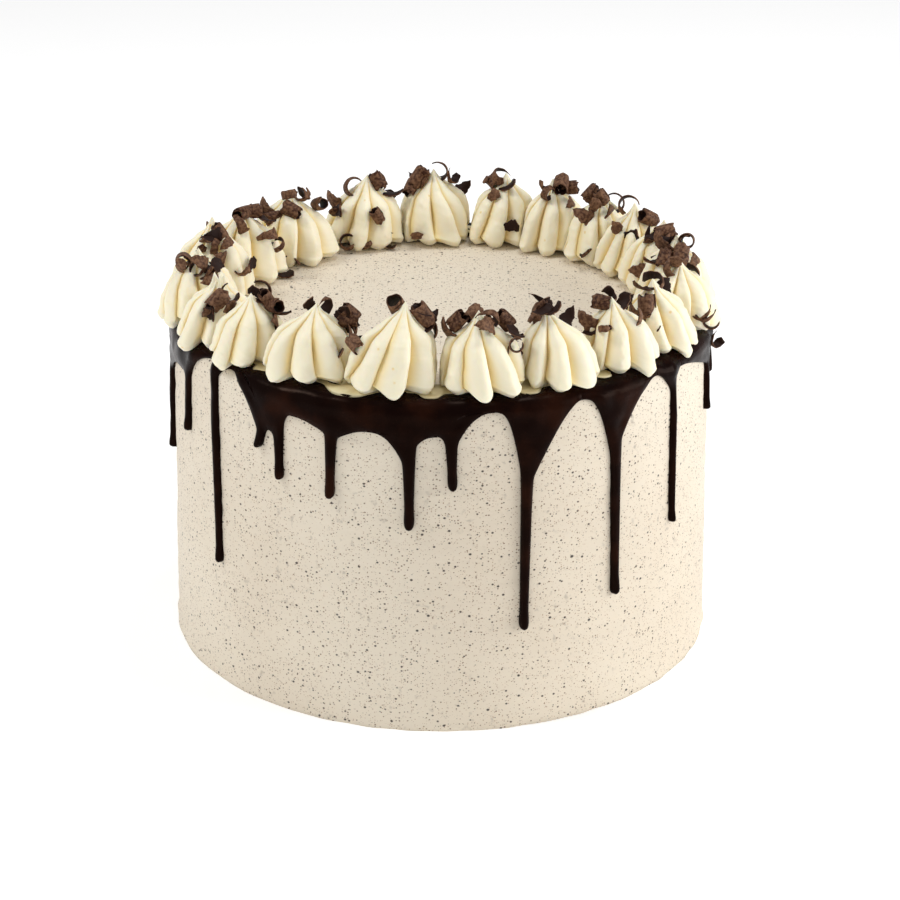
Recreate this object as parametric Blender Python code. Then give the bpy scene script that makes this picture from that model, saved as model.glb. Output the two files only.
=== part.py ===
# Layer cake: a tall round cake in a speckled cream coat, with a dark chocolate drip over its rim,
# a ring of piped cream dollops along the rim and chocolate curls scattered on the dollops.
# Metres, +Z up. The origin is the centre of the underside, the front faces -Y and +X is to the right.
# Angles are in degrees from the front, growing towards the right.

import bmesh
import bpy
import numpy as np

# Cake
FOOT_RADIUS = 0.106
RIM_RADIUS = 0.103
CAKE_HEIGHT = 0.1275
RIM_FILLET = 0.004
FOOT_BEVEL = 0.0015
CAKE_COLUMNS = 60

# Edges sharper than this many degrees stay sharp in the smooth shading.
SHARP_ANGLE = 50

# Gaps that keep neighbouring solids apart
GAP = 0.0003
SKIN_GAP = 0.00045
DRIP_GAP = 0.0006

# Chocolate drip: a thin band over the rim, which always reaches a little below the rim's round, and strands
# down the side. A flank of an arch has one column, or two where it is longer than this many degrees.
SKIN_THICKNESS = 0.0013
SKIN_INNER_RADIUS = 0.085
LEAST_TRAVEL = 0.0068
LONG_FLANK = 8.5
FLANK_SHARES = ((0.6,), (0.37, 0.74))
EDGE_ROUND = 0.1
COLUMN_INSET = 0.3
DRIP_THICKNESS = 0.0022
DRIP_TOP = 0.0031
DRIP_NARROWING = 0.8
# A strand's section: shares of its width and of its thickness at each corner.
DRIP_ACROSS = np.array([-0.5, 0.5, 0.4, 0, -0.4])
DRIP_PROUD = np.array([0, 0, 0.7, 1, 0.7])

# Each drip of the front half: its angle, the depth of its tip below the top, its width, the depth where its
# left and its right side meet the band, then the arch up to the next drip: the angle and depth of the arch's
# peak and how steeply it falls to the left and to the right. Last, how many degrees the tip is off the start.
FRONT_DRIPS = (
    (-84.0, 0.0550, 0.0034, 0.021, 0.021, -68.0, 0.0115, 1.7, 2.0, 0.0),
    (-65.0, 0.0340, 0.0036, 0.013, 0.010, -55.0, 0.0005, 2.1, 1.5, 0.0),
    (-53.0, 0.0785, 0.0036, 0.004, 0.004, -49.0, 0.0005, 1.5, 1.7, 1.6),
    (-38.2, 0.0250, 0.0032, 0.0175, 0.0180, -36.4, 0.0170, 2.0, 2.0, -1.0),
    (-33.9, 0.0350, 0.0036, 0.0185, 0.013, -31.0, 0.0092, 2.0, 1.5, 0.2),
    (-22.0, 0.0380, 0.0040, 0.013, 0.0145, -14.5, 0.0105, 1.3, 2.1, -0.2),
    (-6.0, 0.0470, 0.0043, 0.021, 0.0145, -0.5, 0.0110, 2.0, 2.0, 0.0),
    (2.2, 0.0315, 0.0039, 0.0135, 0.0135, 10.8, 0.0027, 2.1, 2.1, 0.3),
    (17.3, 0.0880, 0.0042, 0.025, 0.028, 29.0, 0.0023, 1.2, 2.1, -0.4),
    (37.5, 0.0820, 0.0042, 0.025, 0.020, 49.5, 0.0020, 1.6, 1.3, 0.2),
    (55.4, 0.0635, 0.0027, 0.010, 0.006, 58.0, 0.0030, 1.5, 1.1, 0.0),
    (75.5, 0.0315, 0.0027, 0.012, 0.012, 83.0, 0.0060, 2.0, 2.0, 0.0),
)
# The drips of the hidden back follow a rule: between these least and largest sizes, at an uneven pitch.
BACK_DRIP_COUNT = 10
BACK_FIRST_ANGLE = 93.0
BACK_DRIP_PITCH = 17.5
BACK_ANGLE_SHIFT = 2.5
BACK_TIP = (0.026, 0.075)
BACK_WIDTH = (0.0034, 0.0046)
BACK_SHOULDER = (0.012, 0.020)
BACK_PEAK = (0.003, 0.010)
BACK_PEAK_PLACE = (0.4, 0.6)
BACK_FALL = 1.8

# Piped dollops
PETALS = 8
PETAL_DEPTH = 0.30
PETAL_POWER = 0.7
PETAL_SHIFT = (-6, 6)
PETAL_REACH = (-0.07, 0.06)
TIP_SHARE = 0.35
TIP_LEVEL = 0.42
FULLNESS = 0.8
FOOT_TUCK = 0.1
DOLLOP_LEVELS = (0.07, 0.20, 0.40, 0.66, 0.90, 1.0)
CLAMP_POWER = 10
TWIST = (14, 24)
LEFT_SHARE = 0.35
# Distances from the middle between which the dollops' feet step up from the cake onto the chocolate
FOOT_STEP = (0.076, 0.088)

# Each dollop: its angle, its distance from the middle, the radius and height of its swirl, and how far its
# tip leans along the ring (towards larger angles) and outwards.
DOLLOPS = (
    (9.7, 0.0868, 0.0180, 0.0295, -0.0012, -0.0010),
    (28.0, 0.0890, 0.0158, 0.0290, -0.0045, -0.0020),
    (45.8, 0.0895, 0.0157, 0.0280, -0.0045, 0.0000),
    (62.5, 0.0905, 0.0157, 0.0265, -0.0010, -0.0025),
    (77.0, 0.0910, 0.0162, 0.0270, -0.0010, 0.0010),
    (92.0, 0.0900, 0.0158, 0.0280, 0.0015, 0.0000),
    (106.0, 0.0890, 0.0157, 0.0280, -0.0010, 0.0010),
    (119.0, 0.0880, 0.0156, 0.0285, 0.0010, 0.0000),
    (133.0, 0.0870, 0.0160, 0.0285, -0.0015, 0.0000),
    (148.0, 0.0860, 0.0160, 0.0290, 0.0010, 0.0005),
    (163.0, 0.0860, 0.0162, 0.0290, -0.0010, 0.0000),
    (182.0, 0.0850, 0.0172, 0.0295, 0.0010, 0.0000),
    (202.0, 0.0860, 0.0177, 0.0285, -0.0010, -0.0005),
    (226.0, 0.0850, 0.0182, 0.0285, 0.0010, 0.0000),
    (245.0, 0.0870, 0.0172, 0.0285, 0.0010, 0.0000),
    (262.0, 0.0900, 0.0166, 0.0315, -0.0010, 0.0000),
    (279.0, 0.0925, 0.0165, 0.0285, 0.0010, 0.0005),
    (294.8, 0.0915, 0.0162, 0.0265, 0.0030, 0.0000),
    (310.0, 0.0905, 0.0158, 0.0262, 0.0010, 0.0000),
    (327.5, 0.0864, 0.0186, 0.0285, 0.0032, 0.0005),
    (349.0, 0.0860, 0.0188, 0.0322, 0.0038, -0.0015),
)

# Chocolate curls, as strips bent to an arc: the arc in degrees, its radius, how much the radius grows to
# the end, the strip's width, the share of the width left at the end, and the number of straight pieces.
CURL_THICKNESS = 0.0009
CURL_KINDS = {
    "tube": (290, 0.0023, 0.25, 0.0074, 0.9, 4),
    "hook": (200, 0.0032, 0.20, 0.0044, 0.2, 3),
    "ring": (300, 0.0026, 0.10, 0.0032, 0.7, 4),
    "flake": (60, 0.0060, 0.00, 0.0058, 0.5, 1),
}
CURL_SIZE = (0.8, 1.15)
CURL_TILT = (-15, 45)

# Steps of the rule that spreads sizes and turns evenly without repeating them
GOLDEN = 0.618034
STREAM_STEP = 0.2915

# The curls of each dollop, in the dollops' order: kind, side in degrees round the dollop from its outward
# side (towards larger angles), level from the tip (0) to the foot (1), and how far it is lifted off the
# cream where it lies on other curls.
CURLS = (
    (
        ("tube", 200, 0.14, 0.001),
        ("hook", 60, 0.12, 0.001),
        ("tube", 110, 0.30, 0.003),
        ("flake", 20, 0.16, 0.001),
        ("flake", 90, 0.42, 0.002),
        ("hook", 75, 0.56, 0.002),
    ),
    (
        ("flake", 215, 0.16, 0.001),
        ("hook", 185, 0.06, 0.003),
        ("flake", 150, 0.14, 0.002),
        ("flake", 110, 0.30, 0.001),
    ),
    (
        ("tube", 215, 0.16, 0.001),
        ("ring", 290, 0.40, 0.001),
        ("flake", 255, 0.48, 0.001),
        ("flake", 60, 0.14, 0.001),
        ("flake", 100, 0.26, 0.001),
        ("flake", 95, 0.42, 0.001),
        ("hook", 140, 0.20, 0.003),
    ),
    (
        ("flake", 230, 0.16, 0.001),
        ("flake", 75, 0.26, 0.001),
        ("hook", 110, 0.14, 0.001),
    ),
    (
        ("hook", 320, 0.74, 0),
        ("hook", 330, 0.86, 0.001),
        ("ring", 220, 0.16, 0),
        ("hook", 100, 0.10, 0.001),
        ("flake", 40, 0.26, 0.001),
    ),
    (
        ("tube", 0, 0.14, 0.001),
        ("hook", 220, 0.16, 0),
        ("tube", 280, 0.26, 0),
        ("flake", 200, 0.34, 0),
        ("hook", 170, 0.10, 0.002),
    ),
    (
        ("tube", 260, 0.18, 0),
        ("hook", 190, 0.26, 0),
        ("flake", 210, 0.68, 0),
    ),
    (
        ("tube", 290, 0.24, 0.001),
        ("flake", 190, 0.34, 0),
        ("hook", 120, 0.10, 0.002),
        ("flake", 240, 0.44, 0.001),
    ),
    (
        ("tube", 220, 0.10, 0.001),
        ("hook", 310, 0.24, 0.001),
        ("flake", 210, 0.78, 0),
        ("flake", 180, 0.34, 0.001),
        ("tube", 100, 0.16, 0.002),
    ),
    (
        ("hook", 130, 0.12, 0),
        ("tube", 280, 0.12, 0.001),
        ("tube", 310, 0.24, 0.002),
        ("flake", 260, 0.34, 0),
        ("ring", 190, 0.22, 0.001),
    ),
    (
        ("tube", 100, 0.20, 0),
        ("hook", 120, 0.08, 0.001),
        ("flake", 210, 0.68, 0),
        ("flake", 160, 0.34, 0.001),
    ),
    (
        ("hook", 260, 0.08, 0.001),
        ("hook", 270, 0.22, 0.002),
        ("tube", 100, 0.20, 0.002),
        ("tube", 95, 0.34, 0.001),
        ("flake", 150, 0.84, 0),
        ("flake", 290, 0.40, 0.001),
    ),
    (
        ("tube", 240, 0.14, 0.001),
        ("tube", 180, 0.50, 0),
        ("flake", 250, 0.36, 0.002),
        ("flake", 100, 0.54, 0),
        ("ring", 130, 0.93, 0.001),
        ("ring", 160, 0.88, 0),
        ("hook", 200, 0.94, 0.001),
        ("hook", 80, 0.24, 0.001),
        ("flake", 280, 0.50, 0.002),
    ),
    (
        ("ring", 140, 0.08, 0.001),
        ("tube", 140, 0.26, 0),
        ("tube", 230, 0.32, 0.002),
        ("flake", 50, 0.32, 0),
        ("flake", 130, 0.95, 0),
        ("hook", 210, 0.16, 0.002),
        ("flake", 90, 0.40, 0.002),
    ),
    (
        ("tube", 120, 0.12, 0.001),
        ("hook", 170, 0.38, 0),
        ("ring", 190, 0.54, 0),
        ("flake", 190, 0.93, 0),
        ("hook", 110, 0.24, 0.001),
        ("tube", 230, 0.16, 0.001),
    ),
    (
        ("tube", 140, 0.18, 0),
        ("ring", 110, 0.34, 0),
        ("hook", 70, 0.34, 0),
        ("flake", 120, 0.46, 0),
        ("flake", 180, 0.62, 0),
        ("hook", 140, 0.60, 0.001),
    ),
    (
        ("tube", 350, 0.24, 0),
        ("ring", 80, 0.26, 0),
        ("flake", 110, 0.40, 0),
        ("flake", 130, 0.28, 0),
        ("flake", 30, 0.30, 0.002),
    ),
    (
        ("tube", 75, 0.36, 0.001),
        ("flake", 60, 0.50, 0.001),
    ),
    (
        ("flake", 200, 0.10, 0.001),
        ("hook", 160, 0.12, 0.003),
        ("tube", 130, 0.28, 0.002),
        ("flake", 110, 0.42, 0.001),
        ("flake", 285, 0.36, 0.001),
    ),
    (
        ("flake", 230, 0.20, 0.001),
        ("hook", 170, 0.14, 0.001),
        ("tube", 135, 0.34, 0.001),
        ("flake", 120, 0.44, 0.001),
        ("hook", 110, 0.56, 0.002),
        ("flake", 75, 0.66, 0.002),
    ),
    (
        ("tube", 225, 0.14, 0.001),
        ("flake", 120, 0.26, 0.001),
        ("flake", 112, 0.40, 0.001),
        ("flake", 125, 0.34, 0.003),
    ),
)
CURL_REST = 0.0010
LEVEL_STEP = 0.02
RIM_CURL = ("hook", 80.0, 0.0065)


def spread(number, stream, reach=(0, 1)):
    """A value in the reach that differs from number to number, evenly spread and the same on each run."""
    share = (number * GOLDEN + stream * STREAM_STEP) % 1.0
    return reach[0] + (reach[1] - reach[0]) * share


def smooth_step(values, start, end):
    share = np.clip((values - start) / (end - start), 0, 1)
    return share * share * (3 - 2 * share)


def polar(angle, radius, height):
    """Points on the round of the cake, from angles, radii and heights."""
    turn = np.radians(angle)
    angle, radius, height = np.broadcast_arrays(turn, radius, height)
    return np.stack([radius * np.sin(angle), -radius * np.cos(angle), height], axis=-1)


def side_radius(height):
    return FOOT_RADIUS + (RIM_RADIUS - FOOT_RADIUS) * height / CAKE_HEIGHT


def lofted(rings, first=None, last=None, looped=False):
    """Points and faces through rings of points. An end is a fan to its pole, or one face without a pole."""
    count, size = rings.shape[:2]
    points = [tuple(point) for point in rings.reshape(-1, 3)]
    faces = []
    for row in range(count if looped else count - 1):
        upper = (row + 1) % count
        for step in range(size):
            after = (step + 1) % size
            faces.append((row * size + step, row * size + after, upper * size + after, upper * size + step))
    if looped:
        return points, faces
    for row, pole in ((0, first), (count - 1, last)):
        loop = [row * size + step for step in range(size)]
        if pole is None:
            faces.append(tuple(loop))
            continue
        points.append(tuple(pole))
        faces.extend((loop[step], loop[(step + 1) % size], len(points) - 1) for step in range(size))
    return points, faces


def new_object(name, shape, material):
    """An object from points and faces, with its faces pointing out."""
    points, faces = shape
    mesh = bpy.data.meshes.new(name)
    mesh.from_pydata(points, [], faces)
    work = bmesh.new()
    work.from_mesh(mesh)
    bmesh.ops.recalc_face_normals(work, faces=work.faces)
    work.to_mesh(mesh)
    work.free()
    mesh.materials.append(material)
    made = bpy.data.objects.new(name, mesh)
    bpy.context.scene.collection.objects.link(made)
    return made


def shaded_smooth(thing):
    """The object with its faces shaded smooth, up to its sharp edges."""
    thing.data.shade_smooth()
    thing.data.set_sharp_from_angle(angle=np.radians(SHARP_ANGLE))
    return thing


def keep_largest_body(mesh):
    """Removes loose scraps and the walls of sealed hollows, which a union can leave."""
    work = bmesh.new()
    work.from_mesh(mesh)
    unseen = set(work.verts)
    bodies = []
    while unseen:
        body = {unseen.pop()}
        edge = list(body)
        while edge:
            near = {link.other_vert(vert) for vert in edge for link in vert.link_edges}
            edge = list(near - body)
            body |= near
        unseen -= body
        bodies.append(body)
    largest = max(bodies, key=len)
    scraps = [vert for body in bodies if body is not largest for vert in body]
    bmesh.ops.delete(work, geom=scraps, context="VERTS")
    work.to_mesh(mesh)
    work.free()


def join_pieces(target, pieces):
    """Fuses the pieces to the target in one Boolean union, and removes them."""
    if not pieces:
        return
    group = bpy.data.collections.new(target.name + "_pieces")
    bpy.context.scene.collection.children.link(group)
    for piece in pieces:
        bpy.context.scene.collection.objects.unlink(piece)
        group.objects.link(piece)
    union = target.modifiers.new("union", "BOOLEAN")
    union.operation = "UNION"
    union.operand_type = "COLLECTION"
    union.collection = group
    graph = bpy.context.evaluated_depsgraph_get()
    fused = bpy.data.meshes.new_from_object(target.evaluated_get(graph))
    target.modifiers.clear()
    target.data = fused
    keep_largest_body(fused)
    for piece in pieces:
        bpy.data.objects.remove(piece)
    bpy.data.collections.remove(group)


def painted(name, colour, roughness):
    """A material of one colour, given as 0 to 255 values on screen."""
    material = bpy.data.materials.new(name)
    material.use_nodes = True
    shader = material.node_tree.nodes["Principled BSDF"]
    linear = [((value / 255 + 0.055) / 1.055) ** 2.4 for value in colour]
    shader.inputs["Base Color"].default_value = (*linear, 1)
    shader.inputs["Roughness"].default_value = roughness
    shader.inputs["Metallic"].default_value = 0
    return material


def cake_profile():
    """Radius and height from the foot's edge up the side and over the rim."""
    points = [(FOOT_RADIUS - FOOT_BEVEL, 0), (side_radius(FOOT_BEVEL), FOOT_BEVEL)]
    start = CAKE_HEIGHT - RIM_FILLET
    for turn in np.radians([0, 45, 90]):
        points.append((RIM_RADIUS - RIM_FILLET * (1 - np.cos(turn)), start + RIM_FILLET * np.sin(turn)))
    return np.array(points)


def make_cake(cream):
    radius, height = cake_profile().T
    angles = np.arange(CAKE_COLUMNS) * 360 / CAKE_COLUMNS
    rings = polar(angles[None, :], radius[:, None], height[:, None])
    return shaded_smooth(new_object("cake", lofted(rings), cream))


def all_drips():
    """The drips right round, the measured ones and those of the hidden back, by growing angle."""
    drips = list(FRONT_DRIPS)
    for number in range(BACK_DRIP_COUNT):
        shift = spread(number, 1, (-BACK_ANGLE_SHIFT, BACK_ANGLE_SHIFT))
        angle = BACK_FIRST_ANGLE + BACK_DRIP_PITCH * number + shift
        tip = spread(number, 7, BACK_TIP)
        width = spread(number, 3, BACK_WIDTH)
        shoulder = spread(number, 4, BACK_SHOULDER)
        peak_angle = angle + BACK_DRIP_PITCH * spread(number, 5, BACK_PEAK_PLACE)
        peak = spread(number, 6, BACK_PEAK)
        drips.append((angle, tip, width, shoulder, shoulder, peak_angle, peak, BACK_FALL, BACK_FALL, 0.0))
    return drips


def arch_columns(peak_angle, peak, side_angle, side, fall):
    """Columns on one flank of an arch, from beside its peak to beside the drip: angle and lower edge."""
    width = side_angle - peak_angle
    shares = FLANK_SHARES[1 if abs(width) > LONG_FLANK else 0]
    return [(peak_angle + share * width, peak + (side - peak) * share**fall) for share in shares]


def skin_columns(drips):
    """Angle and lower edge of the chocolate band: two columns in each drip, and the arch up to the next."""
    columns = []
    for this, after in zip(drips, drips[1:] + drips[:1]):
        angle, _, width, left, right, peak_angle, peak, fall_left, fall_right, _ = this
        half = np.degrees(COLUMN_INSET * width / RIM_RADIUS)
        next_angle = after[0] + (360 if after[0] < angle else 0)
        next_left = next_angle - np.degrees(COLUMN_INSET * after[2] / RIM_RADIUS)
        columns += [(angle - half, left), (angle + half, right)]
        columns += arch_columns(peak_angle, peak, angle + half, right, fall_left)[::-1]
        columns.append((peak_angle, peak))
        columns += arch_columns(peak_angle, peak, next_left, after[3], fall_right)
    return columns


def skin_point(travel, off):
    """Radius and height at a way along the rim, from the fillet's start outwards and down, off its face."""
    bend = RIM_FILLET * np.pi / 2
    if travel <= 0:
        return RIM_RADIUS - RIM_FILLET + travel, CAKE_HEIGHT + off
    if travel < bend:
        turn = travel / RIM_FILLET
        reach = RIM_FILLET + off
        return (
            RIM_RADIUS - RIM_FILLET + reach * np.sin(turn),
            CAKE_HEIGHT - RIM_FILLET + reach * np.cos(turn),
        )
    height = CAKE_HEIGHT - RIM_FILLET - (travel - bend)
    return side_radius(height) + off, height


def skin_travel(depth):
    """The way along the rim that reaches this depth below the top."""
    if depth < RIM_FILLET:
        return RIM_FILLET * np.arccos(1 - depth / RIM_FILLET)
    return RIM_FILLET * np.pi / 2 + depth - RIM_FILLET


def skin_section(edge):
    """The band's closed section at one angle, for a lower edge at this depth."""
    end = max(skin_travel(edge), LEAST_TRAVEL)
    bend = RIM_FILLET * np.pi / 2
    inner = SKIN_INNER_RADIUS - (RIM_RADIUS - RIM_FILLET)
    front = SKIN_GAP + SKIN_THICKNESS
    section = [skin_point(inner, SKIN_GAP)]
    section += [skin_point(way, SKIN_GAP) for way in (0, bend / 2, bend, end)]
    section += [skin_point(way, front) for way in (end - EDGE_ROUND * (end - bend), bend, bend / 2)]
    section += [skin_point(inner / 4, front)]
    return section


def drip_solid(name, drip, material):
    """A drip: a strand of D-shaped section down the side that narrows a little to its round tip."""
    angle, tip, width, left, right = drip[:5]
    sideways = drip[-1]
    start = min(left, right)
    # Depth, share of the width and share of the thickness
    stations = (
        (max(0.5 * start, DRIP_TOP), 1.5, 0.45),
        (start + 0.2 * (tip - start), 1.0, 1.0),
        (tip - 0.6 * width, DRIP_NARROWING, 1.0),
        (tip - 0.15 * width, 0.6 * DRIP_NARROWING, 0.8),
    )
    rings = []
    for depth, wide, thick in stations:
        height = CAKE_HEIGHT - depth
        radius = side_radius(height) + DRIP_GAP
        turn = np.degrees(DRIP_ACROSS * width * wide / radius) + sideways * (depth - start) / (tip - start)
        rings.append(polar(angle + turn, radius + DRIP_PROUD * DRIP_THICKNESS * thick, height))
    end = CAKE_HEIGHT - tip
    pole = polar(angle + sideways, side_radius(end) + DRIP_GAP + 0.3 * DRIP_THICKNESS, end)
    return new_object(name, lofted(np.array(rings), last=pole), material)


def make_ganache(chocolate):
    drips = all_drips()
    sections = []
    for angle, edge in skin_columns(drips):
        radius, height = np.array(skin_section(edge)).T
        sections.append(polar(angle, radius, height))
    ganache = new_object("ganache", lofted(np.array(sections), looped=True), chocolate)
    strands = [drip_solid(f"drip_{number}", drip, chocolate) for number, drip in enumerate(drips)]
    join_pieces(ganache, strands + [rim_curl(chocolate)])
    return shaded_smooth(ganache)


def floor_height(radius):
    """The height that a dollop's foot stands at: on the cake inside, on the chocolate further out."""
    skin_top = CAKE_HEIGHT + SKIN_GAP + SKIN_THICKNESS + GAP
    return CAKE_HEIGHT + GAP + (skin_top - CAKE_HEIGHT - GAP) * smooth_step(radius, *FOOT_STEP)


def dollop_profile(level):
    """Share of the dollop's radius at a level from the tip (0) to the foot (1)."""
    drawn = TIP_SHARE + (1 - TIP_SHARE) * smooth_step(level, 0, TIP_LEVEL)
    tucked = 1 - FOOT_TUCK * smooth_step(level, 0.88, 1)
    return np.sin(np.pi / 2 * level**FULLNESS) * drawn * tucked


def dollop_swirl(number):
    """Degrees that a dollop's creases turn from its tip to its foot, and the sides of its crests at the foot."""
    twist = spread(number, 7, TWIST) * (1 if spread(number, 8) > LEFT_SHARE else -1)
    petal = np.arange(-1, PETALS + 2)
    shift = spread(number + petal % PETALS, 18, PETAL_SHIFT)
    return twist, spread(number, 9, (0, 360 / PETALS)) + petal * 360 / PETALS + shift


def dollop_wedge(number):
    """Half angles from a dollop to the borders with its two neighbours."""
    angle = DOLLOPS[number][0]
    before = DOLLOPS[number - 1][0]
    after = DOLLOPS[(number + 1) % len(DOLLOPS)][0]
    return ((angle - before) % 360) / 2, ((after - angle) % 360) / 2


def kept_in_wedge(along, out, number):
    """Places along the ring, pressed softly against the borders with the neighbours."""
    before, after = dollop_wedge(number)
    half = np.where(along < 0, before, after)
    limit = out * np.tan(np.radians(half)) - GAP / 2
    return along / (1 + np.abs(along / limit) ** CLAMP_POWER) ** (1 / CLAMP_POWER)


def dollop_points(number, level, side):
    """Points of a dollop's surface at levels from tip to foot and sides in degrees, from its outward side."""
    angle, distance, swirl, height, lean_along, lean_out = DOLLOPS[number]
    twist, crests = dollop_swirl(number)
    depth = PETAL_DEPTH * (0.6 + 0.4 * smooth_step(level, 0, 0.3))
    place = crests[1] + (side - twist * (1 - level) - crests[1]) % 360
    petal = np.interp(place, crests, np.arange(-1, PETALS + 2))
    lobes = np.abs(np.cos(np.pi * petal)) ** PETAL_POWER
    longer = lobes * spread(number + np.rint(petal) % PETALS, 15, PETAL_REACH)
    radius = swirl * dollop_profile(level) * (1 - depth * (1 - lobes) + longer)
    turn = np.radians(side)
    rise = 1 - level
    along = radius * np.sin(turn) + lean_along * rise**1.5
    out = distance + radius * np.cos(turn) + lean_out * rise**1.5
    along = kept_in_wedge(along, out, number)
    ring = np.hypot(along, out)
    bottom = floor_height(ring)
    top = CAKE_HEIGHT + height
    return polar(angle + np.degrees(np.arctan2(along, out)), ring, bottom + (top - bottom) * rise)


def crest_sides(number, level):
    """Sides of the crests and creases of a dollop at a level, by turns."""
    twist, crests = dollop_swirl(number)
    sides = np.interp(np.arange(2 * PETALS) / 2, np.arange(-1, PETALS + 2), crests)
    return sides + twist * (1 - level)


def curl_strip(kind, number):
    """A curl about its own middle: sections of a strip that bends round the second axis."""
    arc, radius, growth, width, left, pieces = CURL_KINDS[kind]
    size = spread(number, 11, CURL_SIZE)
    share = np.linspace(0, 1, pieces + 1)
    turn = np.radians(arc * share)
    reach = size * radius * (1 + growth * share)
    half = size * width / 2 * (1 - (1 - left) * share**1.5)
    off = CURL_THICKNESS / 2
    corners = [(reach + off, half), (reach + off, -half), (reach - off, -half), (reach - off, half)]
    lines = np.array([[far * np.cos(turn), wide, far * np.sin(turn)] for far, wide in corners])
    rings = lines.transpose(2, 0, 1)
    return rings - rings.mean(axis=(0, 1))


def turned(rings, number, normal):
    """A curl rolled, tilted and turned by its number, about a normal of the face that it lies on."""
    across = np.cross([0, 0, 1], normal)
    across /= np.linalg.norm(across)
    upward = np.cross(normal, across)
    turn, roll = np.radians([spread(number, 12, (0, 360)), spread(number, 14, (0, 360))])
    tilt = np.radians(spread(number, 13, CURL_TILT))
    axis = np.cos(tilt) * (np.cos(turn) * across + np.sin(turn) * upward) + np.sin(tilt) * normal
    side = np.cross(axis, upward * np.cos(turn) - across * np.sin(turn))
    side /= np.linalg.norm(side)
    other = np.cross(side, axis)
    first = np.cos(roll) * side + np.sin(roll) * other
    second = np.cos(roll) * other - np.sin(roll) * side
    return rings @ np.array([first, axis, second])


def kept_clear(rings, number):
    """A curl moved clear of the neighbouring dollops and of what the dollop stands on."""
    angle = DOLLOPS[number][0]
    along_way = polar(angle + 90, 1.0, 0.0)
    out_way = polar(angle, 1.0, 0.0)
    before, after = np.tan(np.radians(dollop_wedge(number)))
    along = rings @ along_way
    out = rings @ out_way
    over = np.max(along - out * after) + GAP
    under = np.max(-along - out * before) + GAP
    shift = max(under, 0) - max(over, 0)
    low = np.max(floor_height(np.hypot(along, out)) + GAP - rings[..., 2])
    return rings + shift * along_way + np.array([0, 0, max(low, 0)])


def curl_on_dollop(number, count, curl):
    """Sections of one curl of a dollop, where count numbers the curls right round."""
    kind, side, level, lift = curl
    angle, _, swirl, height = DOLLOPS[number][:4]
    spot = dollop_points(number, np.array([level]), np.array([side]))[0]
    slope = swirl * (dollop_profile(level + LEVEL_STEP) - dollop_profile(level)) / LEVEL_STEP
    normal = polar(angle + side, height, slope)
    normal /= np.linalg.norm(normal)
    rings = spot + (CURL_REST + lift) * normal + turned(curl_strip(kind, count), count, normal)
    return kept_clear(rings, number)


def make_dollop(number, cream, chocolate):
    angle, distance = DOLLOPS[number][:2]
    levels = np.array(DOLLOP_LEVELS)[:, None]
    rings = dollop_points(number, levels, crest_sides(number, levels))
    tip = dollop_points(number, np.zeros(1), np.zeros(1))[0]
    foot = polar(angle, distance, floor_height(distance))
    dollop = new_object(f"dollop_{number + 1:02d}", lofted(rings, first=tip, last=foot), cream)
    first = sum(len(curls) for curls in CURLS[:number])
    curls = []
    for step, curl in enumerate(CURLS[number]):
        shape = lofted(curl_on_dollop(number, first + step, curl))
        curls.append(new_object(f"curl_{first + step}", shape, chocolate))
    join_pieces(dollop, curls)
    return shaded_smooth(dollop)


def rim_curl(chocolate):
    """The one curl that lies on the chocolate of the rim, moved out until it is clear of the cake."""
    kind, angle, depth = RIM_CURL
    number = sum(len(curls) for curls in CURLS)
    radius, height = skin_point(skin_travel(depth), SKIN_GAP + SKIN_THICKNESS + CURL_REST)
    normal = polar(angle, 0.86, 0.5)
    rings = polar(angle, radius, height) + turned(curl_strip(kind, number), number, normal)
    low = rings[rings[..., 2] < CAKE_HEIGHT + SKIN_GAP]
    inside = np.max(RIM_RADIUS + SKIN_GAP - np.hypot(low[:, 0], low[:, 1]))
    return new_object("curl_rim", lofted(rings + polar(angle, max(inside, 0), 0)), chocolate)


for old in list(bpy.data.objects):
    bpy.data.objects.remove(old)
coat = painted("speckled_cream", (228, 217, 200), 0.6)
piped = painted("piped_cream", (247, 240, 220), 0.5)
dark = painted("chocolate", (36, 19, 15), 0.3)
make_cake(coat)
make_ganache(dark)
for index in range(len(DOLLOPS)):
    make_dollop(index, piped, dark)
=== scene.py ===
import bmesh
import bpy
import numpy as np
from mathutils import Matrix, Vector


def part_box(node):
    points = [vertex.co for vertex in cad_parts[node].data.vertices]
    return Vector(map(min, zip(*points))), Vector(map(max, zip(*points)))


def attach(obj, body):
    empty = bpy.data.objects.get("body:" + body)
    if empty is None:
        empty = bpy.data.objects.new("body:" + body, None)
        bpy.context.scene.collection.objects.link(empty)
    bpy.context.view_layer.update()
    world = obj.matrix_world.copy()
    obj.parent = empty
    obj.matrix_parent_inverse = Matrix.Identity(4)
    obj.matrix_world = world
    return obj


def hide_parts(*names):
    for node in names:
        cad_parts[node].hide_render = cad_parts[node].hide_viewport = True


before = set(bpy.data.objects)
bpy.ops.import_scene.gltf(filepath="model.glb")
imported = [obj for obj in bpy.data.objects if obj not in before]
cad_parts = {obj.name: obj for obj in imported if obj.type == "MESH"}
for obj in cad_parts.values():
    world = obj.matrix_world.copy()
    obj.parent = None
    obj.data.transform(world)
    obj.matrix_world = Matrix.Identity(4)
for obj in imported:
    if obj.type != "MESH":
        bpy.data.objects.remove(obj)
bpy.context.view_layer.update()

_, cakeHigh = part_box("cake")
cakeTop = cakeHigh.z
footRadius = cakeHigh.x
millimetre = 0.001


# Small tools that every piece uses

golden = 0.618034
streamStep = 0.2915


# A value between low and high that differs from number to number, evenly spread and the same on each run.
def spread(number, stream, low=0.0, high=1.0):
    return low + (high - low) * ((number * golden + stream * streamStep) % 1.0)


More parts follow.
